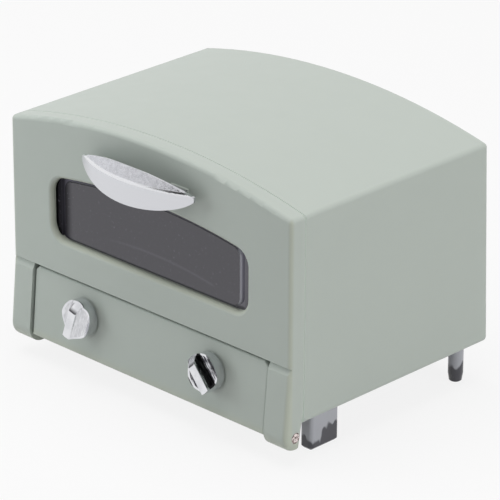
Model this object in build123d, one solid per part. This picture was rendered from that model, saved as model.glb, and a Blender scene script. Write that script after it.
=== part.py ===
from build123d import *

import os
from math import atan, copysign, cos, radians, sin, sqrt, tan

# Toy oven: a palm-sized countertop oven with an arched roof.  The whole front above the
# controls is a door.  Its two legs reach down past the ends of a leaning control panel
# and turn on steel pins, so the door drops forward and down.
#
# Frame: millimetres, +Z up, +X to the oven's left-hand side seen from behind, -Y out of
# the door.  The origin is on the table, under the middle of the oven's outer box.

# ---- driving dimensions -------------------------------------------------------------

# cabinet
width = 45.0             # across the side walls
depth = 33.3             # from the door's face to the foot of the back wall
side_height = 24.9       # side wall, lower edge to roof edge
arch_rise = 2.75         # crown of the roof above the side walls
foot_height = 4.85       # table to the cabinet's lower edge
wall = 1.2               # cabinet wall
back_lean = 1.0          # how far the back wall leans in at roof height
edge_round = 0.6         # rounding of the cabinet's outer edges
rim_round = 0.25         # small rounding of the panel's rim

# door
door_thick = 2.15        # slab, face to back
door_round = 0.55        # rounding round the door's face
door_skin = 1.05         # face wall of the slab round the window
seam = 0.12              # gap between the door and the cabinet's mouth
groove_drop = 7.15       # cabinet's lower edge up to the line between door and panel
groove_gap = 0.26        # slot along that line
notch_deep = 0.33        # the line carried on across the legs: a soft notch
notch_above = 0.25
notch_below = 0.6
pocket_border = 1.8      # solid border of the slab round its inner pocket
leg_width = 3.35         # door leg, across
leg_reach = 2.95         # leg end below the cabinet's lower edge
leg_clear = 0.2          # gap between a leg and the panel's end
leg_heel = 1.65          # leg's lowest back corner behind the door's face
leg_toe_round = 1.9      # rounding of the leg's front lower corner
leg_heel_round = 0.3     # rounding of the leg's back lower corner

# control panel
panel_lean = 5.2         # degrees that the panel and the legs lean out at the bottom
panel_set = 0.3          # panel's face behind the faces of the legs
panel_reach = 1.7        # panel's lower edge below the cabinet's lower edge
panel_wall = 1.1         # panel face wall
panel_rim = 0.9          # panel's top and bottom walls
panel_end = 1.6          # panel's end walls, which carry the hinge pins
panel_corner = 0.55      # chamfer at the panel's top corners
peg_size = 1.6           # square pegs that plug the panel into the base
peg_spread = 9.2         # between the two pegs
peg_rise = 3.6           # pegs above the cabinet's lower edge
fit = 0.05               # clearance of plugged and pressed parts, each side

# hinge
pivot_back = 0.95        # hinge axis behind the door's face
pivot_drop = 1.3         # hinge axis below the cabinet's lower edge
pin_r = 0.625            # pin's head, pressed through the leg
shank_r = 0.4            # pin's shank, which turns in the panel's end wall
running = 0.04           # radial clearance of turning shafts
lug_r = 0.85             # lug round the shank

# window
window_border = 6.75     # door's side to the opening
window_rise = 11.55      # opening's lower edge above the cabinet's lower edge
window_crown = 7.2       # opening's crown below the roof's crown
window_corner = 2.0
rim_bevel = 0.32         # bevel round the opening's front edge
rim_break = 0.12         # smaller bevels that soften its two edges
pane_side_gap = 1.52     # between the raised pane and the opening, left and right
pane_gap = 0.3           # the same, above and below
pane_raise = 0.4         # raised pane above its flange
lip_width = 1.0          # lips on the flange, against the opening's ends
lip_raise = 0.35         # and their height
lip_bevel = 0.1
pane_flange = 0.45       # flange thickness
flange_lap = 1.15        # flange beyond the opening, all round
pane_corner = 1.2
pane_bevel = 0.15        # bevel round the raised field

# handle
handle_reach = 3.7       # door face to the handle's ridge
handle_half = 8.95       # half length
bow_radius = 18.4        # plan radius of the handle's face
handle_thick = 1.1       # front to back, in the middle
tip_thick = 0.3          # and at the tips
ridge_drop = 3.33        # ridge below the roof's crown
handle_top = 1.86        # top of the handle below the roof's crown
handle_slope = 1.0       # how far the upper facet runs back
belly_drop = 2.83        # lowest point of the crescent below its tips' centre line
belly_over = 0.35        # the crescent's lower edge is an ellipse, this much longer
tip_height = 0.55        # height of the blunt tips
handle_round = 0.22
boss_spread = 11.0       # between the two mounting bosses
boss_width = 2.7
boss_height = 1.4
boss_drop = 3.5          # top of the bosses below the roof's crown
boss_out = 1.0           # how far a boss stands off the door
boss_bevel = 0.1
post_width = 2.2
stake_r = 0.55           # stake on a handle post, through boss and door skin
stud_size = 1.0          # square studs that locate the inner panel

# knobs
knob_spread = 20.6       # between the two knob axes
knob_drop = 3.92         # knob axis below the panel line, along the panel's face
knob_r = 2.3
knob_height = 2.2        # back to face
knob_gap = 0.2           # back of the knob off the panel
grip_width = 1.15        # grip left between the two scoops
scoop_r = 1.1            # radius of the finger scoops along the grip
scoop_lift = 0.05        # axis of the scoops above the face
pointer_run = 1.15       # how far the sloping pointer end runs along the grip
pointer_fall = 0.9       # and how far it drops at the rim
shaft_r = 0.8
shaft_point = 0.16       # chamfer on the shaft's end
collar_size = 3.0        # push-on collar, square
collar_thick = 0.8
collar_grip = 0.025      # radial clearance of the collar pressed on its shaft
right_knob_turn = 44.0   # right-hand knob's setting, degrees from upright
left_knob_turn = -14.0   # left-hand knob's setting

# base
plate_thick = 1.1
plate_gap = 0.1          # base plate inside the cabinet
kick_thick = 1.2         # upright front wall of the base
skid_inset = 1.4         # front foot inside the side wall's face
skid_width = 1.8
skid_length = 4.55
skid_back = 4.95         # front foot behind the door's face
stub_r = 0.9             # round rear foot
stub_toe_r = 0.74        # and its toe
stub_toe = 1.0           # height of the tapered toe
stub_inset = 2.35        # rear foot axis inside the side wall's face
stub_setback = 2.9       # rear foot axis in front of the back wall's foot
foot_round = 0.5         # rounding of the skids' upright corners
sole_bevel = 0.27        # bevel round the skids' soles
stub_bevel = 0.1         # bevel round the stubs' soles
rib_spread = 19.0        # between the ribs that carry the oven box
rib_thick = 1.0

# screws that hold the base
screw_r = 0.55
screw_length = 4.5
screw_head_r = 1.2
screw_head = 0.5
post_size = 2.6          # square posts that the screws bite into
post_height = 6.5
screw_back = 18.4        # screws behind the door's face
screw_inset = 3.0        # screw axes inside the side wall's face
screw_clear = 0.15       # radial clearance of the holes in the base plate
screw_bite = 0.025       # radial clearance of the holes in the posts
screw_slot = 0.3         # width of the slot in the head
screw_slot_deep = 0.25

# oven box
box_wall = 0.9
cavity_half = 17.0
cavity_step = 1.35       # cavity floor above the line under the door
box_head_gap = 1.3       # box under the roof, at its upper corners
box_gap = 0.85           # box in front of the back wall
cavity_corner = 1.0
flange_thick = 1.0
ledge_rise = 3.4         # top of the rack ledges above the cavity floor
ledge_width = 1.1
ledge_thick = 0.8

# rack
rack_rim = 1.0           # width of the rim bars
rack_height = 0.9        # depth of the rim bars
rack_bar = 0.6           # width and depth of the bars across
rack_bars = 9
rack_side_gap = 0.35
rack_end_gap = 0.8

# ---- places worked out from them ----------------------------------------------------

back_angle = atan(back_lean / (side_height - edge_round))
foot_trim = edge_round * ((1 + sin(back_angle)) / cos(back_angle) - 1)
front = (handle_reach - depth + foot_trim) / 2      # door's face
back = front + depth                        # foot of the back wall, before its rounding
door_back = front + door_thick
mouth = door_back + seam                    # cabinet's front edge
base = foot_height                          # cabinet's lower edge
eaves = base + side_height                  # roof edge
crown = eaves + arch_rise
roof_radius = ((width / 2) ** 2 + arch_rise ** 2) / (2 * arch_rise)
roof_centre = crown - roof_radius
window_half = width / 2 - window_border     # half width of the opening

groove = base + groove_drop                 # line between the door and the panel
slab_low = groove + groove_gap / 2
panel_top = groove - groove_gap / 2
panel_low = base - panel_reach
panel_half = width / 2 - leg_width - leg_clear
slope = tan(radians(panel_lean))
peg_z = base + peg_rise

pivot_y = front + pivot_back
pivot_z = base - pivot_drop

inner_half = width / 2 - wall               # inside of the cabinet
room_back = back - wall
floor_z = base + plate_thick                # top of the base plate
cavity_floor = groove + cavity_step
box_under = cavity_floor - box_wall         # underside of the oven box
cavity_back = room_back - back_lean - box_gap - box_wall

panel_plane = Plane(
    origin=(0, front + panel_set, groove),
    x_dir=(1, 0, 0),
    z_dir=(0, -cos(radians(panel_lean)), sin(radians(panel_lean))),
)


# ---- helpers ------------------------------------------------------------------------

def along_y(outline, start, end):
    """Prism of a front-view outline, from y = start back to y = end."""
    return extrude(Plane.XZ.offset(-start) * outline, amount=start - end)


def along_x(outline, start, end):
    """Prism of a side-view outline, from x = start to x = end."""
    return extrude(Plane.YZ.offset(start) * outline, amount=end - start)


def block(x0, x1, y0, y1, z0, z1):
    """Box between two corners."""
    middle = Pos((x0 + x1) / 2, (y0 + y1) / 2, (z0 + z1) / 2)
    return middle * Box(x1 - x0, y1 - y0, z1 - z0)


def rod_x(radius, x0, x1, y, z):
    """Round rod along X."""
    return Pos((x0 + x1) / 2, y, z) * Rot(0, 90, 0) * Cylinder(radius, x1 - x0)


def rod_y(radius, y0, y1, x, z):
    """Round rod along Y."""
    return Pos(x, (y0 + y1) / 2, z) * Rot(90, 0, 0) * Cylinder(radius, y1 - y0)


def rod_z(radius, z0, z1, x, y):
    """Round rod along Z."""
    return Pos(x, y, (z0 + z1) / 2) * Cylinder(radius, z1 - z0)


def both_sides(shape):
    """A shape and its mirror image across x = 0."""
    return shape + mirror(shape, about=Plane.YZ)


def roof_z(x, inset=0.0):
    """Height of the roof line, or of the line `inset` inside it, at x."""
    return roof_centre + sqrt((roof_radius - inset) ** 2 - x ** 2)


def arched(half, low, inset=0.0):
    """Front-view outline: upright sides under an arch that follows the roof."""
    shoulder = roof_z(half, inset)
    arch = ThreePointArc((-half, shoulder), (0, roof_z(0, inset)), (half, shoulder))
    sides = Polyline((half, shoulder), (half, low), (-half, low), (-half, shoulder))
    return make_face(arch.edges() + sides.edges())


def rounded_arch(half, low, inset, corner):
    """The same outline with rounded corners."""
    outline = arched(half, low, inset)
    return fillet(outline.vertices(), corner)


def face_y(z):
    """Where the front surface of the leaning legs is at height z."""
    return front - slope * max(groove - z, 0)


def behind_lean(offset):
    """Everything behind the back wall, `offset` in front of its outer face.

    The wall leans in from its foot, and is upright over the last bit below the roof.
    """
    foot, top = back - offset, back - back_lean - offset
    far = back + wall
    outline = Polyline(
        (foot, base - wall),
        (foot, base),
        (top, eaves - edge_round),
        (top, crown + wall),
        (far, crown + wall),
        (far, base - wall),
        close=True,
    )
    return along_x(make_face(outline.edges()), -width, width)


# ---- cabinet ------------------------------------------------------------------------

screw_places = [(side * (width / 2 - screw_inset), front + screw_back) for side in (-1, 1)]


def make_cabinet():
    """Roof, sides and back in one moulding, open in front and below."""
    body = along_y(arched(width / 2, base), mouth, back) - behind_lean(0)
    outer = body.edges().filter_by(lambda e: e.center().Y > mouth + fit)
    body = fillet(outer, edge_round)
    room = along_y(arched(inner_half, base - wall, wall), mouth - wall, back)
    body -= room - behind_lean(wall)
    for x, y in screw_places:
        root = copysign(inner_half + wall / 2, x)
        face = x - copysign(post_size / 2, x)
        body += block(min(face, root), max(face, root), y - post_size / 2,
                      y + post_size / 2, floor_z, floor_z + post_height)
        body -= rod_z(screw_r + screw_bite, floor_z, floor_z + post_height - wall, x, y)
    return body


def peg(x, start, end, clearance=0.0):
    """Square peg along Y that plugs the panel into the base, or its hole."""
    half = peg_size / 2 + clearance
    return block(x - half, x + half, start, end, peg_z - half, peg_z + half)


def make_base_plate():
    """Bottom plate with its front kick wall, ribs, two skids and two rear stubs."""
    half = inner_half - plate_gap
    kick_face = mouth + plate_gap
    rib_front = kick_face + kick_thick
    plate = block(-half, half, kick_face, room_back - plate_gap, base, floor_z)
    body = plate + block(-half, half, kick_face, rib_front, base, groove - plate_gap)
    for x in (-rib_spread / 2, rib_spread / 2):
        body += block(x - rib_thick / 2, x + rib_thick / 2, rib_front,
                      cavity_back, floor_z, box_under)
    # skids: long narrow front feet
    skid_x = width / 2 - skid_inset - skid_width / 2
    skid_y = front + skid_back
    skid = block(skid_x - skid_width / 2, skid_x + skid_width / 2,
                 skid_y, skid_y + skid_length, 0, base + plate_thick / 2)
    skid = fillet(skid.edges().filter_by(Axis.Z), foot_round)
    skid = chamfer(skid.faces().sort_by(Axis.Z)[0].edges(), sole_bevel)
    body += both_sides(skid)
    # stubs: round rear feet
    stub_x = width / 2 - stub_inset
    stub_y = back - stub_setback
    stub = Pos(stub_x, stub_y, stub_toe / 2) * Cone(stub_toe_r, stub_r, stub_toe)
    stub += rod_z(stub_r, stub_toe, base + plate_thick / 2, stub_x, stub_y)
    stub = chamfer(stub.faces().sort_by(Axis.Z)[0].edges(), stub_bevel)
    body += both_sides(stub)
    for x, y in screw_places:
        body -= rod_z(screw_r + screw_clear, base, floor_z, x, y)
        body -= rod_z(screw_head_r + screw_clear, base, base + screw_head, x, y)
    for x in (-peg_spread / 2, peg_spread / 2):
        body -= peg(x, kick_face - fit, rib_front + fit, fit)
    return body


def make_base_screws():
    """Two self-tapping screws, up through the base plate into the cabinet's posts."""
    screws = []
    for x, y in screw_places:
        head = rod_z(screw_head_r, base, base + screw_head, x, y)
        shank = rod_z(screw_r, base + screw_head, base + screw_length, x, y)
        slot = block(x - screw_head_r, x + screw_head_r, y - screw_slot / 2,
                     y + screw_slot / 2, base, base + screw_slot_deep)
        screws.append(head + shank - slot)
    return Compound(children=screws)


# ---- oven box and rack --------------------------------------------------------------

cavity_top = roof_z(cavity_half + box_wall, wall) - box_head_gap - box_wall
ledge_top = cavity_floor + ledge_rise


def make_oven_box():
    """Black box with a flange that fills the cabinet's mouth, and rack ledges."""
    flange = along_y(arched(inner_half - plate_gap, groove, wall + plate_gap),
                     mouth, mouth + flange_thick)
    outside = block(-cavity_half - box_wall, cavity_half + box_wall,
                    mouth, cavity_back + box_wall,
                    cavity_floor - box_wall, cavity_top + box_wall)
    outside = fillet(outside.edges().filter_by(Axis.Y), cavity_corner + box_wall)
    inside = block(-cavity_half, cavity_half, mouth - box_wall, cavity_back,
                   cavity_floor, cavity_top)
    inside = fillet(inside.edges().filter_by(Axis.Y), cavity_corner)
    body = flange + outside - inside
    ledge = along_y(
        make_face(Polyline(
            (cavity_half + box_wall / 2, ledge_top),
            (cavity_half - ledge_width, ledge_top),
            (cavity_half - ledge_width, ledge_top - ledge_thick / 2),
            (cavity_half, ledge_top - ledge_thick - ledge_width / 2),
            (cavity_half + box_wall / 2, ledge_top - ledge_thick - ledge_width / 2),
            close=True,
        ).edges()),
        mouth + flange_thick, cavity_back + box_wall / 2,
    )
    return body + both_sides(ledge)


def make_rack():
    """Moulded shelf on the ledges: a rim of flat bars with thin bars front to back."""
    half = cavity_half - rack_side_gap
    low, high = ledge_top, ledge_top + rack_height
    near = mouth + flange_thick + rack_end_gap
    far = cavity_back - rack_end_gap
    body = block(-half, half, near, far, low, high)
    body = fillet(body.edges().filter_by(Axis.Z), rack_rim)
    clear = half - rack_rim
    body -= block(-clear, clear, near + rack_rim, far - rack_rim, low, high)
    pitch = 2 * clear / (rack_bars + 1)
    for i in range(rack_bars):
        x = -clear + pitch * (i + 1)
        body += block(x - rack_bar / 2, x + rack_bar / 2, near + rack_rim / 2,
                      far - rack_rim / 2, high - rack_bar, high)
    return body


# ---- control panel ------------------------------------------------------------------

def make_panel():
    """Leaning fascia, a shell open behind, with end walls that hold the hinge pins."""
    rear = mouth - seam / 2
    top_y, low_y = face_y(panel_top) + panel_set, face_y(panel_low) + panel_set
    section = Polyline(
        (top_y, panel_top),
        (low_y, panel_low),
        (rear, panel_low),
        (rear, panel_top),
        close=True,
    )
    body = along_x(make_face(section.edges()), -panel_half, panel_half)
    corners = body.edges().filter_by(Axis.Y).group_by(Axis.Z)[-1]
    body = chamfer(corners, panel_corner)
    rim = body.faces().sort_by(Axis.Y)[0].edges()
    body = fillet(rim, rim_round)
    inner = Polyline(
        (top_y + panel_wall, panel_top - panel_rim),
        (low_y + panel_wall, panel_low + panel_rim),
        (rear + panel_wall, panel_low + panel_rim),
        (rear + panel_wall, panel_top - panel_rim),
        close=True,
    )
    body -= along_x(make_face(inner.edges()), panel_end - panel_half, panel_half - panel_end)
    lug = rod_x(lug_r, panel_half - panel_end, panel_half, pivot_y, pivot_z)
    body += both_sides(lug)
    bore = rod_x(shank_r + running, panel_half - panel_end, panel_half, pivot_y, pivot_z)
    body -= both_sides(bore)
    for x in (-peg_spread / 2, peg_spread / 2):
        body += peg(x, face_y(peg_z) + panel_set + panel_wall / 2, mouth + kick_thick)
    for x in (-knob_spread / 2, knob_spread / 2):
        bore = Pos(x, -knob_drop, 0) * Cylinder(shaft_r + running, 4 * panel_wall)
        body -= panel_plane * bore
    return body


# ---- knobs --------------------------------------------------------------------------

def make_knob(x, turn):
    """Round knob: a grip left between two scoops, a sloping pointer end and a shaft."""
    face_z = knob_gap + knob_height
    body = rod_z(knob_r, knob_gap, face_z, 0, 0)
    ramp = make_face(Polyline(
        (knob_r - pointer_run, face_z),
        (2 * knob_r - pointer_run, face_z - pointer_fall * knob_r / pointer_run),
        (2 * knob_r - pointer_run, face_z + knob_height),
        (knob_r - pointer_run, face_z + knob_height),
        close=True,
    ).edges())
    body -= along_x(ramp, -knob_r, knob_r)
    for side in (-1, 1):
        middle = side * (grip_width / 2 + scoop_r)
        body -= rod_y(scoop_r, -knob_r, knob_r, middle, face_z + scoop_lift)
    shaft_end = panel_wall + knob_gap + collar_thick + 2 * fit
    shaft = rod_z(shaft_r, -shaft_end, knob_gap, 0, 0)
    shaft = chamfer(shaft.faces().sort_by(Axis.Z)[0].edges(), shaft_point)
    body += shaft
    return panel_plane * Pos(x, -knob_drop, 0) * Rot(0, 0, turn) * body


def make_collar(x):
    """Push-on ring that keeps a knob's shaft in the panel."""
    low = -(panel_wall + knob_gap + collar_thick)
    ring = Box(collar_size, collar_size, collar_thick)
    ring -= Cylinder(shaft_r + collar_grip, collar_thick)
    ring = Pos(0, 0, low + collar_thick / 2) * ring
    return panel_plane * Pos(x, -knob_drop, 0) * ring


# ---- door ---------------------------------------------------------------------------

skin_back = front + door_skin
pocket_half = width / 2 - pocket_border
pane_front = skin_back - pane_raise
pocket_low = slab_low + pocket_border
boss_top = crown - boss_drop


def leg_outline():
    """Side view of a door leg: leaning front, rounded toe and heel round the pin."""
    low = base - leg_reach
    heel = front + leg_heel
    toe = (face_y(low), low)
    outline = make_face(Polyline(
        (front, slab_low + edge_round),
        (front, groove),
        toe,
        (heel, low),
        (door_back, base),
        (door_back, slab_low + edge_round),
        close=True,
    ).edges())
    bottom = outline.vertices().sort_by(Axis.Y)[:2].sort_by(Axis.X)
    outline = fillet(bottom[0], leg_toe_round)
    heel_corner = outline.vertices().filter_by(
        lambda v: abs(v.Y - low) < fit and abs(v.X - heel) < fit
    )
    return fillet(heel_corner, leg_heel_round)


def clip_places():
    """Centres, in X and Z, of the four studs that locate the inner panel."""
    x = (pocket_half + window_half + flange_lap) / 2
    low = pocket_low + stud_size
    high = boss_top - 2 * boss_height
    return [(-x, low), (x, low), (-x, high), (x, high)]


def stud(x, z, start, end, clearance=0.0):
    """Square stud along Y, or its hole."""
    half = stud_size / 2 + clearance
    return block(x - half, x + half, start, end, z - half, z + half)


def window_edges(body, y, reach):
    """Edges at y that run round the window opening, within `reach` of its outline."""
    low = base + window_rise - reach
    high = crown - window_crown + reach
    return body.edges().filter_by(
        lambda e: abs(e.center().Y - y) < fit
        and abs(e.center().X) < window_half + reach
        and low < e.center().Z < high
    )


def make_door():
    """Arched slab with the window opening, two legs and two handle bosses."""
    slab = along_y(arched(width / 2, slab_low), front, door_back)
    roof = slab.edges().filter_by(Axis.Y).group_by(Axis.Z)[-1]
    slab = fillet(roof, edge_round)
    leg = along_x(leg_outline(), panel_half + leg_clear, width / 2)
    body = slab + both_sides(leg)
    side = width / 2 - fit
    outer = body.edges().filter_by(
        lambda e: e.center().Y < pivot_y
        and (abs(e.center().X) > side or e.center().Z > eaves - edge_round)
    )
    body = fillet(outer, door_round)
    notch = make_face(Polyline(
        (front - notch_deep, groove + 2 * notch_above),
        (front + notch_deep, groove),
        (front - notch_deep, groove - 2 * notch_below),
        close=True,
    ).edges())
    body -= along_x(notch, -width, width)
    opening = rounded_arch(window_half, base + window_rise, window_crown, window_corner)
    cutter = along_y(opening, front - wall, door_back + wall)
    body -= cutter
    body = chamfer(window_edges(body, front, fit), rim_bevel)
    rim = window_edges(body, front, rim_bevel + fit)
    rim += window_edges(body, front + rim_bevel, fit)
    body = chamfer(rim, rim_break)
    pocket = rounded_arch(pocket_half, pocket_low, pocket_border, pane_corner)
    body -= along_y(pocket, skin_back, door_back + wall)
    for side in (-1, 1):
        x = side * boss_spread / 2
        boss = block(x - boss_width / 2, x + boss_width / 2, front - boss_out,
                     front + door_skin / 2, boss_top - boss_height, boss_top)
        near = boss.faces().sort_by(Axis.Y)[0].edges()
        body += chamfer(near, boss_bevel)
        body -= rod_y(stake_r + fit, front - boss_out, skin_back, x,
                      boss_top - boss_height / 2)
    for x, z in clip_places():
        body += stud(x, z, skin_back - fit, door_back - fit)
    body -= rod_x(pin_r + fit / 5, panel_half, width, pivot_y, pivot_z)
    body -= rod_x(pin_r + fit / 5, -width, -panel_half, pivot_y, pivot_z)
    return body


def make_window():
    """Smoked pane: a raised field on a flange that seats behind the door's face wall."""
    flange = rounded_arch(window_half + flange_lap, base + window_rise - flange_lap,
                          window_crown - flange_lap, window_corner)
    plate = along_y(flange, skin_back, skin_back + pane_flange)
    field = rounded_arch(window_half - pane_side_gap, base + window_rise + pane_gap,
                         window_crown + pane_gap, pane_corner)
    raised = along_y(field, pane_front, skin_back)
    raised = chamfer(raised.faces().sort_by(Axis.Y)[0].edges(), pane_bevel)
    lip_face = skin_back - lip_raise
    lip_inner = window_half - lip_width
    lips = along_y(rounded_arch(window_half - fit, base + window_rise + fit,
                                window_crown + fit, window_corner), lip_face, skin_back)
    lips -= block(-lip_inner, lip_inner, front, door_back, base, crown)
    near = lips.edges().filter_by(Axis.Z).filter_by(
        lambda e: abs(abs(e.center().X) - lip_inner) < fit
        and abs(e.center().Y - lip_face) < fit
    )
    return plate + raised + chamfer(near, lip_bevel)


def make_inner_panel():
    """Black frame that closes the door's pocket and traps the pane."""
    start = skin_back + pane_flange + fit
    outline = rounded_arch(pocket_half - plate_gap, pocket_low + plate_gap,
                           pocket_border + plate_gap, pane_corner)
    panel = along_y(outline, start, door_back)
    half = window_half - pane_side_gap - pane_gap
    hole = rounded_arch(half, base + window_rise + 2 * pane_gap,
                        window_crown + 2 * pane_gap, pane_corner)
    panel -= along_y(hole, start - wall, door_back + wall)
    for x, z in clip_places():
        panel -= stud(x, z, start, door_back, fit)
    return panel


def make_handle():
    """Bowed crescent: an upright face, a sloping upper facet and two staked posts."""
    axis_y = front - handle_reach + bow_radius
    face = front - handle_reach
    top = crown - handle_top
    ridge = crown - ridge_drop
    low = ridge - belly_drop
    profile = make_face(Polyline(
        (face, low - wall),
        (face, ridge),
        (face + handle_slope, top),
        (face + handle_thick, ridge - handle_thick / 4),
        (face + handle_thick, low - wall),
        close=True,
    ).edges())
    ridge_corner = profile.vertices().filter_by(
        lambda v: abs(v.X - face) < fit and abs(v.Y - ridge) < fit
    )
    profile = fillet(ridge_corner, handle_round)
    bow = revolve(Plane.YZ * profile, axis=Axis((0, axis_y, 0), (0, 0, 1)))
    # seen from the front: an elliptical belly under a flatter arch, with blunt tips
    belly_half = handle_half + belly_over
    tip_low = ridge - belly_drop * sqrt(1 - (handle_half / belly_half) ** 2)
    sag = top - tip_low - tip_height
    arch_radius = (handle_half ** 2 + sag ** 2) / (2 * sag)
    belly = Pos(0, ridge) * Ellipse(belly_half, belly_drop)
    belly += Pos(0, ridge + belly_drop / 2) * Rectangle(2 * belly_half, belly_drop)
    crescent = belly & (Pos(0, top - arch_radius) * Circle(arch_radius))
    crescent &= Pos(0, ridge) * Rectangle(2 * handle_half, 4 * belly_drop)
    crescent = fillet(crescent.vertices(), handle_round)
    body = bow & along_y(crescent, face - wall, front)
    # seen from above: the back is a flatter arc than the face, so the tips are thin
    back_sag = bow_radius - sqrt(bow_radius ** 2 - handle_half ** 2)
    back_sag -= handle_thick - tip_thick
    back_radius = (handle_half ** 2 + back_sag ** 2) / (2 * back_sag)
    body -= rod_z(back_radius, low - wall, top + wall, 0, face + handle_thick + back_radius)
    core = rod_z(bow_radius - handle_thick / 2, low - wall, top + wall, 0, axis_y)
    for side in (-1, 1):
        x = side * boss_spread / 2
        z = boss_top - boss_height / 2
        half_height = boss_height / 2 - plate_gap
        post = block(x - post_width / 2, x + post_width / 2, face, front - boss_out,
                     z - half_height, z + half_height)
        body += post & core
        body += rod_y(stake_r, front - boss_out - fit, skin_back + pane_flange / 2, x, z)
    return body


def make_hinge_pin(side):
    """Shouldered steel pin: a stout head in the leg and a shank in the panel's end."""
    leg_inner = panel_half + leg_clear
    shank_end = panel_half - panel_end + plate_gap
    head = rod_x(pin_r, leg_inner, width / 2, pivot_y, pivot_z)
    shank = rod_x(shank_r, shank_end, leg_inner, pivot_y, pivot_z)
    pin = head + shank
    return pin if side > 0 else mirror(pin, about=Plane.YZ)


# ---- the pieces ---------------------------------------------------------------------

knob_x = knob_spread / 2

pieces = {
    "cabinet": make_cabinet(),
    "base_plate": make_base_plate(),
    "base_screws": make_base_screws(),
    "oven_box": make_oven_box(),
    "rack": make_rack(),
    "control_panel": make_panel(),
    "door": make_door(),
    "window_pane": make_window(),
    "door_inner_panel": make_inner_panel(),
    "door_handle": make_handle(),
    "left_knob": make_knob(-knob_x, left_knob_turn),
    "right_knob": make_knob(knob_x, right_knob_turn),
    "left_knob_collar": make_collar(-knob_x),
    "right_knob_collar": make_collar(knob_x),
    "left_hinge_pin": make_hinge_pin(-1),
    "right_hinge_pin": make_hinge_pin(1),
}

os.makedirs("parts", exist_ok=True)
for name, piece in pieces.items():
    export_step(piece, f"parts/{name}.step")
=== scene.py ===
"""Looks of the toy oven: finishes for its moulded, plated and steel pieces, and the stage
with its floor, lamps and camera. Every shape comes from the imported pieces."""

import math

import bpy
import bmesh
from mathutils import Matrix, Vector

bl_info = {
    "name": "Toy oven finishes",
    "version": (1, 0, 0),
    "blender": (4, 5, 0),
    "location": "3D View > Sidebar > Oven",
    "description": "Finishes the toy oven's pieces and sets its stage",
    "category": "Object",
}

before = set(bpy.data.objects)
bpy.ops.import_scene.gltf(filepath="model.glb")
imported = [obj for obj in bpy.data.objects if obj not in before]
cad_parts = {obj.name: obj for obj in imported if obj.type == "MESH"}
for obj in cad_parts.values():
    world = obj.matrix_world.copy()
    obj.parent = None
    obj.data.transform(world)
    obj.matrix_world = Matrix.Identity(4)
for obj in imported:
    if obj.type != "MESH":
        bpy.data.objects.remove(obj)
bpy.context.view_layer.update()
MM = 0.001
BLACK = (0.0, 0.0, 0.0, 1.0)
WHITE = (1.0, 1.0, 1.0, 1.0)

# places on the toy, in millimetres
DOOR_FACE = -14.79
DOOR_SIDE = 22.5
DOOR_ROUND = 0.55
SEAM_MIDDLE = -12.58         # middle of the gap between door and cabinet
LEG_TIP = 1.9
PANE_FACE = -14.14
OPENING_HALF = 15.75
OPENING_LOW = 16.4
OPENING_CORNER = 2.0
OPENING_ARCH = 86.22         # radius of the opening's arch
ROOF_CENTRE = -60.92         # height of the centre that roof and opening share
PANEL_LOW = 3.15
PANEL_LEAN = 5.2             # degrees
RIDGE_HEIGHT = 29.2          # ridge between the handle's face and its upper facet
PIN_Y, PIN_Z = -13.8374, 3.55
KNOB_X, KNOB_Y, KNOB_Z = 10.3, -14.8427, 8.0961
LEFT_KNOB_TURN, RIGHT_KNOB_TURN = -14.0, 44.0        # degrees

# a knob's own sizes, from its middle and out of the panel, in millimetres
POINTER_START = 1.15
POINTER_FRONT = (1.9, 2.1)
GRIP_HALF = 0.57
SCOOP_EDGE = (0.5, 0.62)
SCOOP_FRONT = (2.3, 2.38)
KNOB_RIM = (2.02, 2.12)


def srgb(red, green, blue):
    """Linear colour of an 8-bit screen colour."""
    def linear(value):
        value /= 255
        return value / 12.92 if value <= 0.04045 else ((value + 0.055) / 1.055) ** 2.4
    return (linear(red), linear(green), linear(blue), 1.0)


# ---- node helpers -------------------------------------------------------------------

def put(tree, kind, **values):
    """Adds a node. Names that match a socket set it, and others set a property."""
    node = tree.nodes.new(kind)
    for name, value in values.items():
        socket = name.replace("_", " ")
        if socket in node.inputs:
            node.inputs[socket].default_value = value
        else:
            setattr(node, name, value)
    return node


def wire(tree, source, target):
    """Joins a socket to an input, or gives the input a plain value."""
    if isinstance(source, bpy.types.NodeSocket):
        tree.links.new(source, target)
    else:
        target.default_value = source


def number(tree, operation, *values):
    """Math node on sockets or plain numbers. Gives its output socket."""
    node = put(tree, "ShaderNodeMath", operation=operation)
    for place, value in enumerate(values):
        wire(tree, value, node.inputs[place])
    return node.outputs[0]


def product(tree, first, *others):
    """All the values multiplied."""
    for other in others:
        first = number(tree, "MULTIPLY", first, other)
    return first


def largest(tree, first, *others):
    """The largest of the values."""
    for other in others:
        first = number(tree, "MAXIMUM", first, other)
    return first


def away(tree, value, middle):
    """Distance of a value from a middle, either way."""
    return number(tree, "ABSOLUTE", number(tree, "SUBTRACT", value, middle))


def diagonal(tree, first, second):
    """Length of the diagonal across two lengths at right angles."""
    squares = product(tree, first, first), product(tree, second, second)
    return number(tree, "SQRT", number(tree, "ADD", *squares))


def ramp(tree, value, fade, start=0.0, end=1.0):
    """Value mapped smoothly from the fade's two ends to start and end, clamped."""
    node = put(tree, "ShaderNodeMapRange", interpolation_type="SMOOTHSTEP")
    wire(tree, value, node.inputs["Value"])
    node.inputs["From Min"].default_value, node.inputs["From Max"].default_value = fade
    node.inputs["To Min"].default_value = start
    node.inputs["To Max"].default_value = end
    return node.outputs["Result"]


def blend_colour(tree, share, first, second):
    """Mix of two colours, each a socket or a plain colour."""
    node = put(tree, "ShaderNodeMix", data_type="RGBA")
    for place, value in ((0, share), (6, first), (7, second)):
        wire(tree, value, node.inputs[place])
    return node.outputs[2]


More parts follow.
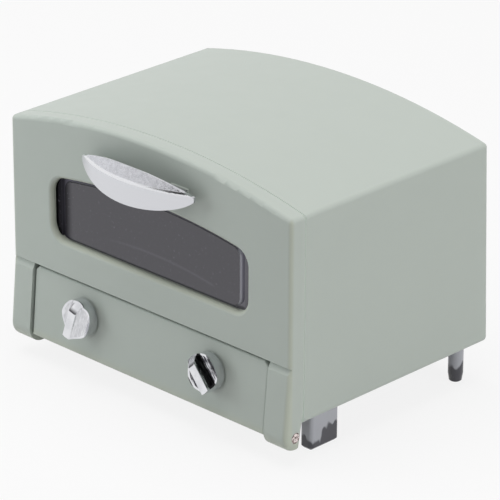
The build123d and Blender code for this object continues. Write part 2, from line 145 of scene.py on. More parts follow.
def split(tree, vector, scale=1.0):
    """The three axes of a vector, scaled."""
    grown = put(tree, "ShaderNodeVectorMath", operation="SCALE", Scale=scale)
    wire(tree, vector, grown.inputs[0])
    axes = put(tree, "ShaderNodeSeparateXYZ")
    wire(tree, grown.outputs[0], axes.inputs[0])
    return tuple(axes.outputs)


def place_of(tree):
    """Object coordinates, in metres."""
    return put(tree, "ShaderNodeTexCoord").outputs["Object"]


def millimetres(tree):
    """The three object coordinates in millimetres."""
    return split(tree, place_of(tree), 1 / MM)


def facing(tree):
    """The three axes of the surface's own direction."""
    return split(tree, put(tree, "ShaderNodeTexCoord").outputs["Normal"])


def noise(tree, spot, scale, detail=2.0, roughness=0.5):
    """Noise factor. Scale is in cells per metre."""
    node = put(tree, "ShaderNodeTexNoise", Detail=detail, Roughness=roughness)
    wire(tree, spot, node.inputs["Vector"])
    wire(tree, scale, node.inputs["Scale"])
    return node.outputs[0]


def bump(tree, height, shader, strength, depth=0.02):
    """Feeds a height into a shader's Normal. Depth is in millimetres."""
    node = put(tree, "ShaderNodeBump", Strength=strength, Distance=depth * MM)
    wire(tree, height, node.inputs["Height"])
    wire(tree, node.outputs[0], shader.inputs["Normal"])


# ---- shared effects -----------------------------------------------------------------

FLOAT, COLOUR = "NodeSocketFloat", "NodeSocketColor"


def new_group(name, inputs, outputs):
    """Empty shader node group with named sockets: (name, kind, default)."""
    group = bpy.data.node_groups.new(name, "ShaderNodeTree")
    for label, kind, default in inputs:
        socket = group.interface.new_socket(label, in_out="INPUT", socket_type=kind)
        socket.default_value = default
    for label, kind in outputs:
        group.interface.new_socket(label, in_out="OUTPUT", socket_type=kind)
    return group, group.nodes.new("NodeGroupInput"), group.nodes.new("NodeGroupOutput")


def moulded_skin_group():
    """Surface of moulded plastic: faint cloudy tone, satin grain and sparse specks."""
    cloud_cells, speck_cells, streak_cells, grain_cells = 180.0, 420.0, 520.0, 9000.0
    rarity, speck_edge, speck_colour = 0.955, (0.02, 0.055), (0.22, 0.20, 0.16, 1.0)
    group, given, result = new_group(
        "moulded_skin",
        [("Colour", COLOUR, (0.5, 0.5, 0.5, 1.0)), ("Tone", FLOAT, 0.03),
         ("Gloss", FLOAT, 0.4), ("Gloss change", FLOAT, 0.08), ("Specks", FLOAT, 0.3)],
        [("Colour", COLOUR), ("Roughness", FLOAT), ("Height", FLOAT)],
    )
    spot = place_of(group)
    cloud = noise(group, spot, cloud_cells, 3.0)
    tone = product(group, number(group, "SUBTRACT", cloud, 0.5), given.outputs["Tone"])
    toned = put(group, "ShaderNodeVectorMath", operation="SCALE")
    wire(group, given.outputs["Colour"], toned.inputs[0])
    wire(group, number(group, "ADD", tone, 1.0), toned.inputs["Scale"])
    cells = put(group, "ShaderNodeTexVoronoi", Scale=speck_cells, Randomness=1.0)
    wire(group, spot, cells.inputs["Vector"])
    pick = put(group, "ShaderNodeSeparateColor")
    wire(group, cells.outputs["Color"], pick.inputs[0])
    chosen = number(group, "GREATER_THAN", pick.outputs[0], rarity)
    near = ramp(group, cells.outputs["Distance"], speck_edge, 1.0, 0.0)
    speck = product(group, chosen, near, given.outputs["Specks"])
    shade = blend_colour(group, speck, toned.outputs[0], speck_colour)
    wire(group, shade, result.inputs["Colour"])
    streak = noise(group, spot, streak_cells)
    change = product(group, number(group, "SUBTRACT", streak, 0.5),
                     given.outputs["Gloss change"])
    gloss = number(group, "ADD", change, given.outputs["Gloss"])
    wire(group, gloss, result.inputs["Roughness"])
    grain = product(group, noise(group, spot, grain_cells), 0.5)
    wire(group, number(group, "ADD", grain, cloud), result.inputs["Height"])


def metal_skin_group():
    """Surface of metal or plating: cloudy gloss and fine grain."""
    cloud_range = (0.3, 0.7)
    group, given, result = new_group(
        "metal_skin",
        [("Gloss", FLOAT, 0.3), ("Gloss change", FLOAT, 0.05),
         ("Cloud scale", FLOAT, 700.0), ("Grain scale", FLOAT, 5000.0)],
        [("Roughness", FLOAT), ("Cloud", FLOAT), ("Height", FLOAT)],
    )
    spot = place_of(group)
    cloud = noise(group, spot, given.outputs["Cloud scale"], 3.0)
    change = product(group, ramp(group, cloud, cloud_range, -1.0, 1.0),
                     given.outputs["Gloss change"])
    gloss = number(group, "ADD", change, given.outputs["Gloss"])
    wire(group, gloss, result.inputs["Roughness"])
    wire(group, cloud, result.inputs["Cloud"])
    grain = noise(group, spot, given.outputs["Grain scale"])
    wire(group, grain, result.inputs["Height"])


def window_outline_group():
    """Distance in millimetres outside the window opening, on the door's face."""
    group, _, result = new_group("window_outline", [], [("Distance", FLOAT)])
    x, _, z = millimetres(group)
    across = number(group, "SUBTRACT", number(group, "ABSOLUTE", x),
                    OPENING_HALF - OPENING_CORNER)
    below = number(group, "SUBTRACT", OPENING_LOW + OPENING_CORNER, z)
    reach = diagonal(group, x, number(group, "SUBTRACT", z, ROOF_CENTRE))
    above = number(group, "SUBTRACT", reach, OPENING_ARCH - OPENING_CORNER)
    upright = largest(group, below, above)
    outside = diagonal(group, largest(group, across, 0.0), largest(group, upright, 0.0))
    inside = number(group, "MINIMUM", largest(group, across, upright), 0.0)
    distance = number(group, "SUBTRACT", number(group, "ADD", outside, inside),
                      OPENING_CORNER)
    wire(group, distance, result.inputs["Distance"])


def fresh_material(name):
    """New material with a Principled BSDF wired to its output."""
    material = bpy.data.materials.new(name)
    material.use_nodes = True
    return material, material.node_tree, material.node_tree.nodes["Principled BSDF"]


def use_group(tree, group, **values):
    """Places a named node group with its own values."""
    node = tree.nodes.new("ShaderNodeGroup")
    node.node_tree = bpy.data.node_groups[group]
    for name, value in values.items():
        node.inputs[name.replace("_", " ")].default_value = value
    return node


def plastic(name, colour, gloss, tone=0.03, specks=0.3, strength=0.12):
    """Moulded plastic with the shared skin. Gives material, tree, shader and skin."""
    material, tree, shader = fresh_material(name)
    skin = use_group(tree, "moulded_skin", Colour=colour, Tone=tone, Gloss=gloss,
                     Specks=specks)
    wire(tree, skin.outputs["Colour"], shader.inputs["Base Color"])
    wire(tree, skin.outputs["Roughness"], shader.inputs["Roughness"])
    bump(tree, skin.outputs["Height"], shader, strength)
    shader.inputs["IOR"].default_value = 1.5
    return material, tree, shader, skin


def metal(name, colour, gloss, grain_cells, strength=0.1):
    """Bare or plated metal in one colour, with fine grain."""
    material, tree, shader = fresh_material(name)
    skin = use_group(tree, "metal_skin", Gloss=gloss, Grain_scale=grain_cells)
    shader.inputs["Base Color"].default_value = colour
    shader.inputs["Metallic"].default_value = 1.0
    wire(tree, skin.outputs["Roughness"], shader.inputs["Roughness"])
    bump(tree, skin.outputs["Height"], shader, strength)
    return material


def glow_by(tree, shader, mask, colour, strength):
    """Lets a surface give off some light of one colour where the mask is."""
    wire(tree, blend_colour(tree, mask, BLACK, colour), shader.inputs["Emission Color"])
    shader.inputs["Emission Strength"].default_value = strength


def dress(node, material):
    """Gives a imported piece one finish."""
    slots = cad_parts[node].data.materials
    slots.clear()
    slots.append(material)


# ---- settings -----------------------------------------------------------------------

def colour_setting(name, description, default):
    """Property for one colour."""
    return bpy.props.FloatVectorProperty(
        name=name, description=description, subtype="COLOR", size=4, min=0, max=1,
        default=default)


class OvenFinish(bpy.types.PropertyGroup):
    """Colours of the toy's finishes."""

    sage: colour_setting(
        "Sage green", "Colour of the outer mouldings", srgb(169, 177, 170))
    # painted light: the paler colour that thin edges take, as if light soaked through
    # them
    edge_tint: colour_setting(
        "Edge tint", "Colour where light soaks into thin edges", srgb(176, 178, 150))
    charcoal: colour_setting(
        "Charcoal", "Colour of the base and feet", srgb(66, 66, 72))
    # pale grey on the upper parts of the feet, and in the painted highlight on the pane's
    # right-facing edges
    overspray: colour_setting(
        "Overspray", "Colour of the paint mist on the feet", srgb(176, 178, 184))
    black: colour_setting(
        "Black", "Colour of the oven box and inner panel", srgb(34, 34, 37))
    smoke: colour_setting(
        "Smoke", "Colour of the window pane", srgb(17, 17, 19))
    smoke_tint: colour_setting(
        "Smoke tint", "Tint of what the pane reflects", (0.93, 0.91, 1.0, 1.0))
    recess: colour_setting(
        "Recess", "Light scattered by the pane's sunk edge", srgb(66, 65, 72))
    silver: colour_setting(
        "Silver", "Colour of the plated pieces", srgb(228, 229, 232))
    satin: colour_setting(
        "Satin", "Colour of the handle's face", srgb(214, 215, 219))
    frost_dark: colour_setting(
        "Frost, dark", "Darker grain of the handle's upper facet", srgb(176, 177, 182))
    frost_light: colour_setting(
        "Frost, light", "Lighter grain of the handle's upper facet", srgb(216, 217, 221))
    steel: colour_setting(
        "Steel", "Colour of pins and screws", srgb(232, 220, 218))
    pit: colour_setting(
        "Pits", "Colour in the pits and at the rim of the hinge pins", srgb(96, 76, 70))


class OvenStage(bpy.types.PropertyGroup):
    """Camera and lamps."""

    distance: bpy.props.FloatProperty(
        name="Camera distance", description="Camera to the point it looks at",
        subtype="DISTANCE", default=0.4046)
    azimuth: bpy.props.FloatProperty(
        name="Azimuth", description="Camera's turn round the toy from its front",
        subtype="ANGLE", default=math.radians(44.30))
    elevation: bpy.props.FloatProperty(
        name="Elevation", description="Camera's height above the horizon",
        subtype="ANGLE", default=math.radians(23.374))
    roll: bpy.props.FloatProperty(
        name="Roll", description="Camera's roll about its line of sight",
        subtype="ANGLE", default=math.radians(0.258))
    lens: bpy.props.FloatProperty(
        name="Lens", description="Focal length on a 36 mm sensor, in millimetres",
        default=251.33)
    target: bpy.props.FloatVectorProperty(
        name="Target", description="Point at the middle of the picture",
        subtype="TRANSLATION", size=3, default=(0.00060, 0.00126, 0.01489))
    top_light: bpy.props.FloatProperty(
        name="Top light", description="Power of the softbox overhead",
        subtype="POWER", default=2.33)
    side_light: bpy.props.FloatProperty(
        name="Side light", description="Power of the softbox on the right",
        subtype="POWER", default=1.2)
    front_light: bpy.props.FloatProperty(
        name="Front light", description="Power of the softbox in front",
        subtype="POWER", default=0.175)
    ambient: bpy.props.FloatProperty(
        name="Ambient", description="Strength of the light from all round",
        default=0.28)


# ---- operators ----------------------------------------------------------------------

class OVEN_OT_green_mouldings(bpy.types.Operator):
    """Finish the cabinet, door and control panel in satin sage-green plastic"""

    bl_idname = "oven.green_mouldings"
    bl_label = "Green mouldings"

    gloss = 0.42                                      # roughness, as in every gloss
    seam_edge = (0.062, 0.066)                        # from the seam's middle
    seam_glow = 0.5
    rim_tint = 0.3
    window_rim = (0.1, 0.5)
    leg_tips = (LEG_TIP + 0.4, LEG_TIP + 2.2)
    panel_edge = (PANEL_LOW + 0.2, PANEL_LOW + 1.2)
    boss_front = (DOOR_FACE - 0.4, DOOR_FACE - 0.15)
    boss_height = (22.0, 24.0)
    boss_share = 0.7
    panel_share = 0.8

    def execute(self, context):
        finish = context.scene.oven_finish
        shades = {"cabinet": None, "door": self.door_shade,
                  "control_panel": self.panel_shade}
        for node, shade in shades.items():
            material, tree, shader, skin = plastic(
                f"sage_{node}", finish.sage, self.gloss)
            if node != "control_panel":
                # painted light: the walls of the seam between door and cabinet glow
                # faintly in sage, lightening the shade in the gap
                y = millimetres(tree)[1]
                seam = ramp(tree, away(tree, y, SEAM_MIDDLE), self.seam_edge, 1.0, 0.0)
                glow_by(tree, shader, seam, finish.sage, self.seam_glow)
            if shade:
                wire(tree, shade(tree, finish), skin.inputs["Colour"])
            dress(node, material)
        return {"FINISHED"}

    def door_shade(self, tree, finish):
        """Door's colour: painted light soaking into its corners, window rim and leg tips,
        and painted shade on its bosses.
        """
        x, y, z = millimetres(tree)
        side = product(
            tree,
            ramp(tree, number(tree, "ABSOLUTE", x),
                 (DOOR_SIDE - DOOR_ROUND, DOOR_SIDE - DOOR_ROUND / 3)),
            ramp(tree, y, (DOOR_FACE + DOOR_ROUND, DOOR_FACE + DOOR_ROUND / 3)))
        outline = use_group(tree, "window_outline").outputs["Distance"]
        rim = ramp(tree, outline, self.window_rim, 1.0, 0.0)
        tip = ramp(tree, z, self.leg_tips, 1.0, 0.0)
        # painted light: corners, window rim and leg tips lean towards the paler edge
        # colour
        tint = product(tree, largest(tree, side, rim, tip), self.rim_tint)
        shade = blend_colour(tree, tint, finish.sage, finish.edge_tint)
        # painted shade: the handle's bosses, standing out from the door's face, darken
        # towards charcoal
        boss = product(tree, ramp(tree, y, self.boss_front, self.boss_share, 0.0),
                       ramp(tree, z, self.boss_height))
        return blend_colour(tree, boss, shade, finish.charcoal)

    def panel_shade(self, tree, finish):
        """Control panel's colour: painted light soaking in along its lower edge."""
        # painted light: the panel's lower edge leans towards the paler edge colour
        edge = ramp(tree, millimetres(tree)[2], self.panel_edge, self.panel_share,
                    0.0)
        tint = product(tree, edge, self.rim_tint)
        return blend_colour(tree, tint, finish.sage, finish.edge_tint)


class OVEN_OT_base(bpy.types.Operator):
    """Finish the charcoal base with its feet, and its screws"""

    bl_idname = "oven.base"
    bl_label = "Base and screws"

    gloss = 0.22
    tone, specks = 0.1, 0.1
    drip_cells = 900.0                                # per metre
    drip_stretch = (1.0, 1.0, 0.45)
    drip_length = 4.0                                 # millimetres
    mist_share = 0.85
    mist_edge = (2.2, 2.7)
    front_feet = (-8.6, -7.6)
    front_drop = 1.5                                  # millimetres

    def execute(self, context):
        finish = context.scene.oven_finish
        material, tree, shader, skin = plastic(
            "charcoal_base", finish.charcoal, self.gloss, self.tone, self.specks)
        _, y, z = millimetres(tree)
        # the feet turn pale grey towards the top, along a ragged edge stretched up and
        # down and set lower on the front feet
        runs = put(tree, "ShaderNodeMapping", Scale=self.drip_stretch)
        wire(tree, place_of(tree), runs.inputs["Vector"])
        drips = noise(tree, runs.outputs[0], self.drip_cells, 1.0)
        drips = number(tree, "SUBTRACT", drips, 0.5)
        height = number(tree, "ADD", z, product(tree, drips, self.drip_length))
        lower = ramp(tree, y, self.front_feet, self.front_drop, 0.0)
        mist = ramp(tree, number(tree, "ADD", height, lower), self.mist_edge, 0.0,
                    self.mist_share)
        shade = blend_colour(tree, mist, finish.charcoal, finish.overspray)
        wire(tree, shade, skin.inputs["Colour"])
        dress("base_plate", material)
        dress("base_screws", metal("screw_steel", finish.steel, gloss=0.3,
                                   grain_cells=4000.0))
        return {"FINISHED"}


class OVEN_OT_oven_room(bpy.types.Operator):
    """Finish the black oven box and the silver rack in it"""

    bl_idname = "oven.oven_room"
    bl_label = "Oven box and rack"

    def execute(self, context):
        finish = context.scene.oven_finish
        dress("oven_box", plastic("black_box", finish.black, gloss=0.5, tone=0.1)[0])
        dress("rack", metal("rack_silver", finish.silver, gloss=0.35,
                            grain_cells=6000.0))
        return {"FINISHED"}


class OVEN_OT_window(bpy.types.Operator):
    """Finish the smoked pane and the black panel that traps it"""

    bl_idname = "oven.window"
    bl_label = "Window"

    gloss = 0.05
    refraction = 1.82
    scuff_share = 0.6
    scuff_facing = (0.3, 0.6)                         # how far an edge faces right
    scuff_right = (-2.0, 2.0)
    dark_end = (-14.3, -12.7)
    sunk_depth = (PANE_FACE + 0.02, PANE_FACE + 0.1)
    sunk_height, sunk_least = (15.0, 20.0), 0.25
    sunk_left, sunk_right = (-15.2, -14.0), (15.0, 16.0)
    flow_height = 19.0
    flow_fall = 0.0085                                # per millimetre, squared
    flow_width = (0.0, 0.28)
    flow_share = 0.3
    flow_left, flow_right = (-9.0, -1.0), (9.6, 10.4)
    dust_cells = 3600.0                               # per metre
    dust_level = (0.69, 0.72)
    dust_share = 0.6

    def execute(self, context):
        finish = context.scene.oven_finish
        material, tree, shader, skin = plastic(
            "smoked_pane", finish.smoke, self.gloss, tone=0.3, specks=0.0, strength=0.01)
        shader.inputs["IOR"].default_value = self.refraction
        shader.inputs["Specular Tint"].default_value = finish.smoke_tint
        x, y, z = millimetres(tree)
        # painted highlight: edges facing right, on the pane's right half, lighten towards
        # pale grey
        scuffed = product(tree, ramp(tree, facing(tree)[0], self.scuff_facing),
                          ramp(tree, x, self.scuff_right), self.scuff_share)
        shade = blend_colour(tree, scuffed, finish.smoke, finish.overspray)
        wire(tree, shade, skin.inputs["Colour"])
        # painted shade: the left end turns metallic over the near-black smoke, so it
        # mirrors less of the room and stays dark, standing in for the shaded wall of the
        # opening that it would mirror
        wire(tree, ramp(tree, x, self.dark_end, 1.0, 0.0), shader.inputs["Metallic"])
        # painted light: the pane's sunk edge, dark in the shade of the groove, glows
        # faintly in the recess colour; the painted reflection line and the dust specks
        # glow with it
        sunk = product(
            tree, ramp(tree, y, self.sunk_depth),
            ramp(tree, z, self.sunk_height, self.sunk_least, 1.0),
            ramp(tree, x, self.sunk_left), ramp(tree, x, self.sunk_right, 1.0, 0.0))
        light = largest(tree, sunk, self.flow_line(tree, x, z), self.dust(tree))
        glow_by(tree, shader, light, finish.recess, 1.0)
        dress("window_pane", material)
        dress("door_inner_panel",
              plastic("black_inner_panel", finish.black, gloss=0.45, tone=0.1)[0])
        return {"FINISHED"}

    def flow_line(self, tree, x, z):
        """Mask of a faint light curve painted across the pane, a painted reflection."""
        fall = product(tree, x, x, self.flow_fall)
        level = number(tree, "ADD", number(tree, "SUBTRACT", z, self.flow_height), fall)
        return product(
            tree,
            ramp(tree, number(tree, "ABSOLUTE", level), self.flow_width,
                 self.flow_share, 0.0),
            ramp(tree, x, self.flow_left), ramp(tree, x, self.flow_right, 1.0, 0.0))

    def dust(self, tree):
        """Mask of a few specks of dust."""
        grains = noise(tree, place_of(tree), self.dust_cells, 1.0)
        return ramp(tree, grains, self.dust_level, 0.0, self.dust_share)


class OVEN_OT_handle(bpy.types.Operator):
    """Finish the handle in satin silver plating"""

    bl_idname = "oven.handle"
    bl_label = "Handle"

    facet_facing = (0.42, 0.52)                       # how far a surface faces up
    ridge_edge = (0.1, 0.24)                          # from the ridge's middle
    face_gloss, facet_gloss, ridge_gloss = 0.32, 0.3, 0.14
    facet_metal = 0.35
    grain_cells, cloud_cells, speck_cells = 14000.0, 2200.0, 7000.0
    grain_share, cloud_share = 0.75, 0.25
    grain_strength = 0.45
    frost_range = (0.38, 0.62)
    speck_level = 0.57
    worn_share = 0.75
    worn_right = (3.6, 6.4)
    worn_from, worn_to = (0.1, 0.2), (0.72, 0.86)     # how far a surface faces up

    def execute(self, context):
        finish = context.scene.oven_finish
        material, tree, shader = fresh_material("satin_silver")
        spot = place_of(tree)
        x, _, z = millimetres(tree)
        upward = facing(tree)[2]
        ridge = ramp(tree, away(tree, z, RIDGE_HEIGHT), self.ridge_edge, 1.0, 0.0)
        facet = product(tree, ramp(tree, upward, self.facet_facing),
                        ramp(tree, ridge, (0.0, 1.0), 1.0, 0.0))
        grain = noise(tree, spot, self.grain_cells, 3.0, 0.7)
        cloud = noise(tree, spot, self.cloud_cells, 3.0)
        mottle = number(tree, "ADD", product(tree, grain, self.grain_share),
                        product(tree, cloud, self.cloud_share))
        frost = blend_colour(tree, ramp(tree, mottle, self.frost_range),
                             finish.frost_dark, finish.frost_light)
        shade = blend_colour(tree, facet, finish.satin, frost)
        # painted highlight: the ridge between the face and the upper facet is lightened
        # to plain silver
        shade = blend_colour(tree, ridge, shade, finish.silver)
        specks = number(tree, "GREATER_THAN",
                        noise(tree, spot, self.speck_cells, 3.0, 0.8), self.speck_level)
        worn = product(
            tree, specks, ramp(tree, x, self.worn_right),
            ramp(tree, upward, self.worn_from),
            ramp(tree, upward, self.worn_to, 1.0, 0.0), self.worn_share)
        shade = blend_colour(tree, worn, shade, finish.black)
        wire(tree, shade, shader.inputs["Base Color"])
        wire(tree, ramp(tree, facet, (0.0, 1.0), 1.0, self.facet_metal),
             shader.inputs["Metallic"])
        gloss = number(tree, "ADD", product(tree, facet, self.facet_gloss),
                       self.face_gloss)
        gloss = number(tree, "SUBTRACT", gloss, product(tree, ridge, self.ridge_gloss))
        wire(tree, gloss, shader.inputs["Roughness"])
        bump(tree, grain, shader, self.grain_strength)
        dress("door_handle", material)
        return {"FINISHED"}


class OVEN_OT_knobs(bpy.types.Operator):
    """Finish the two knobs in bright plating, and their collars"""

    bl_idname = "oven.knobs"
    bl_label = "Knobs"

    collar_gloss = 0.4
    gloss, gloss_change = 0.10, 0.04
    cloud_cells, streak_cells = 600.0, 7000.0         # per metre
    silver_range = (0.35, 0.65)
    line_width = (0.03, 0.1)
    line_end = (0.3, 0.6)
    line_share = 0.8
    slope_dark = (POINTER_START, POINTER_START + 0.5)
    slope_share = 0.9
    streak_stretch = (1.0, 0.12, 1.0)
    streak_strength = 0.8
    tarnish_range, tarnish_least = (0.44, 0.62), 0.3
    left_tarnish, right_tarnish = 0.2, 1.0
    scoop_grain, plain_grain = 0.85, 0.15

    def execute(self, context):
        finish = context.scene.oven_finish
        grey = plastic("collar_grey", finish.charcoal, self.collar_gloss)[0]
        for side, x, turn, tarnish in (
                ("left", -KNOB_X, LEFT_KNOB_TURN, self.left_tarnish),
                ("right", KNOB_X, RIGHT_KNOB_TURN, self.right_tarnish)):
            material = self.plating(f"bright_plating_{side}", finish, x, turn, tarnish)
            dress(f"{side}_knob", material)
            dress(f"{side}_knob_collar", grey)
        return {"FINISHED"}

    def plating(self, name, finish, x, turn, tarnish):
        """Bright plating for a knob at x, with painted dark reflection in its scoops by a
        share.
        """
        material, tree, shader = fresh_material(name)
        own = self.own_place(tree, x, turn)
        axes = split(tree, own, 1 / MM)
        across, along, height = number(tree, "ABSOLUTE", axes[0]), axes[1], axes[2]
        skin = use_group(tree, "metal_skin", Gloss=self.gloss,
                         Gloss_change=self.gloss_change, Cloud_scale=self.cloud_cells)
        shader.inputs["Metallic"].default_value = 1.0
        wire(tree, skin.outputs["Roughness"], shader.inputs["Roughness"])
        shade = blend_colour(tree, ramp(tree, skin.outputs["Cloud"], self.silver_range),
                             finish.silver, finish.satin)

        # painted reflection: a dark line where the sloping pointer end meets the grip's
        # face
        line = product(
            tree,
            ramp(tree, away(tree, along, POINTER_START), self.line_width,
                 self.line_share, 0.0),
            ramp(tree, across, self.line_end, 1.0, 0.0),
            ramp(tree, height, POINTER_FRONT))
        shade = blend_colour(tree, line, shade, finish.charcoal)
        # painted reflection: the lower part of the pointer's slope darkens towards black
        slope = product(
            tree, ramp(tree, along, self.slope_dark, self.slope_share, 0.0),
            number(tree, "GREATER_THAN", along, POINTER_START),
            number(tree, "LESS_THAN", across, GRIP_HALF))
        shade = blend_colour(tree, slope, shade, finish.black)

        # streaks drawn along the scoops on both sides of the grip: in the colour a
        # painted dark reflection, in the bump the plating's grain
        drawn = put(tree, "ShaderNodeVectorMath", operation="MULTIPLY")
        wire(tree, own, drawn.inputs[0])
        drawn.inputs[1].default_value = self.streak_stretch
        streaks = noise(tree, drawn.outputs[0], self.streak_cells, 2.0, 0.6)
        scoop = product(
            tree, ramp(tree, across, SCOOP_EDGE),
            ramp(tree, height, SCOOP_FRONT, 1.0, 0.0),
            ramp(tree, diagonal(tree, across, along), KNOB_RIM, 1.0, 0.0))
        dark = product(
            tree, ramp(tree, streaks, self.tarnish_range, 1.0, self.tarnish_least),
            scoop, tarnish)
        shade = blend_colour(tree, dark, shade, finish.charcoal)
        wire(tree, shade, shader.inputs["Base Color"])
        grain = number(tree, "ADD", product(tree, scoop, self.scoop_grain),
                       self.plain_grain)
        bump(tree, product(tree, streaks, grain), shader, self.streak_strength)
        return material

    def own_place(self, tree, x, turn):
        """Place in a knob's own axes: across its grip, along it, and out of the panel."""
        own = put(tree, "ShaderNodeMapping", vector_type="TEXTURE")
        wire(tree, place_of(tree), own.inputs["Vector"])
        lean = Matrix.Rotation(math.radians(90 - PANEL_LEAN), 3, "X")
        turned = lean @ Matrix.Rotation(math.radians(turn), 3, "Z")
        own.inputs["Location"].default_value = (x * MM, KNOB_Y * MM, KNOB_Z * MM)
        own.inputs["Rotation"].default_value = turned.to_euler()
        return own.outputs[0]


class OVEN_OT_hinges(bpy.types.Operator):
    """Finish the two hinge pins in cut steel wire"""

    bl_idname = "oven.hinges"
    bl_label = "Hinge pins"

    gloss = 0.22
    pit_cells = 3200.0                                # per metre
    pit_range = (0.42, 0.54)
    pit_strength, pit_depth = 1.0, 0.06
    rim_edge = (0.5, 0.6)                             # from the pin's middle
    rim_share = 0.7

    def execute(self, context):
        finish = context.scene.oven_finish
        material, tree, shader = fresh_material("pin_steel")
        _, y, z = millimetres(tree)
        radius = diagonal(tree, number(tree, "SUBTRACT", y, PIN_Y),
                          number(tree, "SUBTRACT", z, PIN_Z))
        pits = noise(tree, place_of(tree), self.pit_cells, 3.0, 0.65)
        shade = blend_colour(tree, ramp(tree, pits, self.pit_range, 1.0, 0.0),
                             finish.steel, finish.pit)
        rim = ramp(tree, radius, self.rim_edge, 0.0, self.rim_share)
        shade = blend_colour(tree, rim, shade, finish.pit)
        wire(tree, shade, shader.inputs["Base Color"])
        shader.inputs["Metallic"].default_value = 1.0
        shader.inputs["Roughness"].default_value = self.gloss
        bump(tree, pits, shader, self.pit_strength, self.pit_depth)
        for side in ("left", "right"):
            dress(f"{side}_hinge_pin", material)
        return {"FINISHED"}


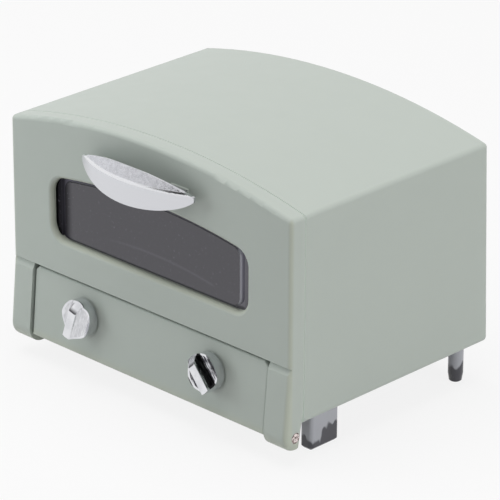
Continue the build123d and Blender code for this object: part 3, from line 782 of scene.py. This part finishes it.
class OVEN_OT_stage(bpy.types.Operator):
    """Lay the pale floor, hang the lamps and set the camera"""

    bl_idname = "oven.stage"
    bl_label = "Stage"

    floor_radius = 2.0
    floor_colour = (0.6, 0.6, 0.6, 1.0)
    floor_gloss = 0.9
    floor_white = 0.85                     # share of plain white that a camera sees
    # each lamp's size, place and colour
    lamps = {
        "top": (0.45, (-0.05, -0.02, 0.50), (1.0, 0.975, 0.985)),
        "side": (0.35, (0.48, 0.05, 0.16), (1.0, 1.0, 1.0)),
        "front": (0.12, (-0.16, -0.125, 0.06), (0.94, 0.98, 1.0)),
    }
    lamp_target = (0.0, 0.0, 0.015)
    dark_side = (0.42, -0.52, 0.74)        # towards the dark patch that plating mirrors
    dark_outer, dark_inner = math.radians(50), math.radians(40)
    dark_level = 0.02
    sensor_width = 36                      # millimetres
    clip_start, clip_end = 0.01, 10

    def execute(self, context):
        context.scene.view_settings.view_transform = "Standard"
        self.lay_floor(context.scene)
        self.light_room(context.scene)
        for side, (size, spot, colour) in self.lamps.items():
            power = getattr(context.scene.oven_stage, f"{side}_light")
            self.hang_softbox(f"{side}_softbox", power, size, spot, colour)
        self.set_camera(context.scene)
        return {"FINISHED"}

    def seen(self, tree, path):
        """1 for what the camera sees itself, in a mirror or through glass."""
        return largest(tree, path.outputs["Is Camera Ray"], path.outputs["Is Glossy Ray"],
                       path.outputs["Is Transmission Ray"])

    def mix_to(self, tree, share, first, second, output):
        """Mixes two shaders into an output node."""
        mix = put(tree, "ShaderNodeMixShader")
        for place, value in enumerate((share, first.outputs[0], second.outputs[0])):
            wire(tree, value, mix.inputs[place])
        wire(tree, mix.outputs[0], tree.nodes[output].inputs["Surface"])

    def lay_floor(self, scene):
        """Round floor that looks white and keeps the toy's shadow."""
        sheet = bmesh.new()
        bmesh.ops.create_circle(sheet, cap_ends=True, segments=96,
                                radius=self.floor_radius)
        mesh = bpy.data.meshes.new("floor")
        sheet.to_mesh(mesh)
        sheet.free()
        floor = bpy.data.objects.new("floor", mesh)
        scene.collection.objects.link(floor)
        material, tree, shader = fresh_material("pale_floor")
        shader.inputs["Base Color"].default_value = self.floor_colour
        shader.inputs["Roughness"].default_value = self.floor_gloss
        glow = put(tree, "ShaderNodeEmission", Color=WHITE, Strength=1.0)
        path = put(tree, "ShaderNodeLightPath")
        share = product(tree, self.seen(tree, path), self.floor_white)
        self.mix_to(tree, share, shader, glow, "Material Output")
        mesh.materials.append(material)

    def light_room(self, scene):
        """Soft light from all round, white to the eye, with a dark patch for plating."""
        world = bpy.data.worlds.new("studio")
        scene.world = world
        world.use_nodes = True
        tree = world.node_tree
        air = tree.nodes["Background"]
        air.inputs["Color"].default_value = WHITE
        air.inputs["Strength"].default_value = scene.oven_stage.ambient
        white = put(tree, "ShaderNodeBackground", Color=WHITE)
        path = put(tree, "ShaderNodeLightPath")
        towards = put(tree, "ShaderNodeVectorMath", operation="DOT_PRODUCT")
        sky = put(tree, "ShaderNodeTexCoord").outputs["Generated"]
        wire(tree, sky, towards.inputs[0])
        towards.inputs[1].default_value = self.dark_side
        patch = ramp(tree, towards.outputs["Value"],
                     (math.cos(self.dark_outer), math.cos(self.dark_inner)), 1.0,
                     self.dark_level)
        bright = largest(tree, patch, path.outputs["Is Camera Ray"])
        wire(tree, bright, white.inputs["Strength"])
        self.mix_to(tree, self.seen(tree, path), air, white, "World Output")

    def hang_softbox(self, name, power, size, spot, colour):
        """Square area lamp that faces the toy and shows in no mirror."""
        lamp = bpy.data.lights.new(name, "AREA")
        lamp.energy, lamp.size, lamp.color = power, size, colour
        holder = bpy.data.objects.new(name, lamp)
        bpy.context.scene.collection.objects.link(holder)
        holder.location = spot
        holder.visible_glossy = False
        ray = Vector(self.lamp_target) - Vector(spot)
        holder.rotation_euler = ray.to_track_quat("-Z", "Y").to_euler()

    def set_camera(self, scene):
        """Camera turned round the toy by its azimuth, elevation and roll."""
        stage = scene.oven_stage
        camera = bpy.data.objects.new("camera", bpy.data.cameras.new("camera"))
        scene.collection.objects.link(camera)
        scene.camera = camera
        camera.data.sensor_width = self.sensor_width
        camera.data.lens = stage.lens
        camera.data.clip_start, camera.data.clip_end = self.clip_start, self.clip_end
        turn = (Matrix.Rotation(stage.azimuth, 4, "Z")
                @ Matrix.Rotation(math.pi / 2 - stage.elevation, 4, "X")
                @ Matrix.Rotation(stage.roll, 4, "Z"))
        camera.matrix_world = (Matrix.Translation(Vector(stage.target)) @ turn
                               @ Matrix.Translation((0, 0, stage.distance)))


STEPS = (
    OVEN_OT_green_mouldings,
    OVEN_OT_base,
    OVEN_OT_oven_room,
    OVEN_OT_window,
    OVEN_OT_handle,
    OVEN_OT_knobs,
    OVEN_OT_hinges,
    OVEN_OT_stage,
)


class OVEN_PT_sidebar(bpy.types.Panel):
    """Lists the settings and steps that finish the toy oven"""

    bl_idname = "OVEN_PT_sidebar"
    bl_label = "Toy oven"
    bl_space_type = "VIEW_3D"
    bl_region_type = "UI"
    bl_category = "Oven"

    def draw(self, context):
        for name in OvenFinish.__annotations__:
            self.layout.prop(context.scene.oven_finish, name)
        for name in OvenStage.__annotations__:
            self.layout.prop(context.scene.oven_stage, name)
        for step in STEPS:
            self.layout.operator(step.bl_idname)


CLASSES = (OvenFinish, OvenStage, *STEPS, OVEN_PT_sidebar)


def register():
    for kind in CLASSES:
        bpy.utils.register_class(kind)
    bpy.types.Scene.oven_finish = bpy.props.PointerProperty(type=OvenFinish)
    bpy.types.Scene.oven_stage = bpy.props.PointerProperty(type=OvenStage)


def unregister():
    del bpy.types.Scene.oven_stage
    del bpy.types.Scene.oven_finish
    for kind in reversed(CLASSES):
        bpy.utils.unregister_class(kind)


def main():
    """Registers the classes, builds the shared node groups and runs every step in order.
    """
    register()
    moulded_skin_group()
    metal_skin_group()
    window_outline_group()
    for step in STEPS:
        group, name = step.bl_idname.split(".")
        getattr(getattr(bpy.ops, group), name)()


if __name__ == "__main__":
    main()
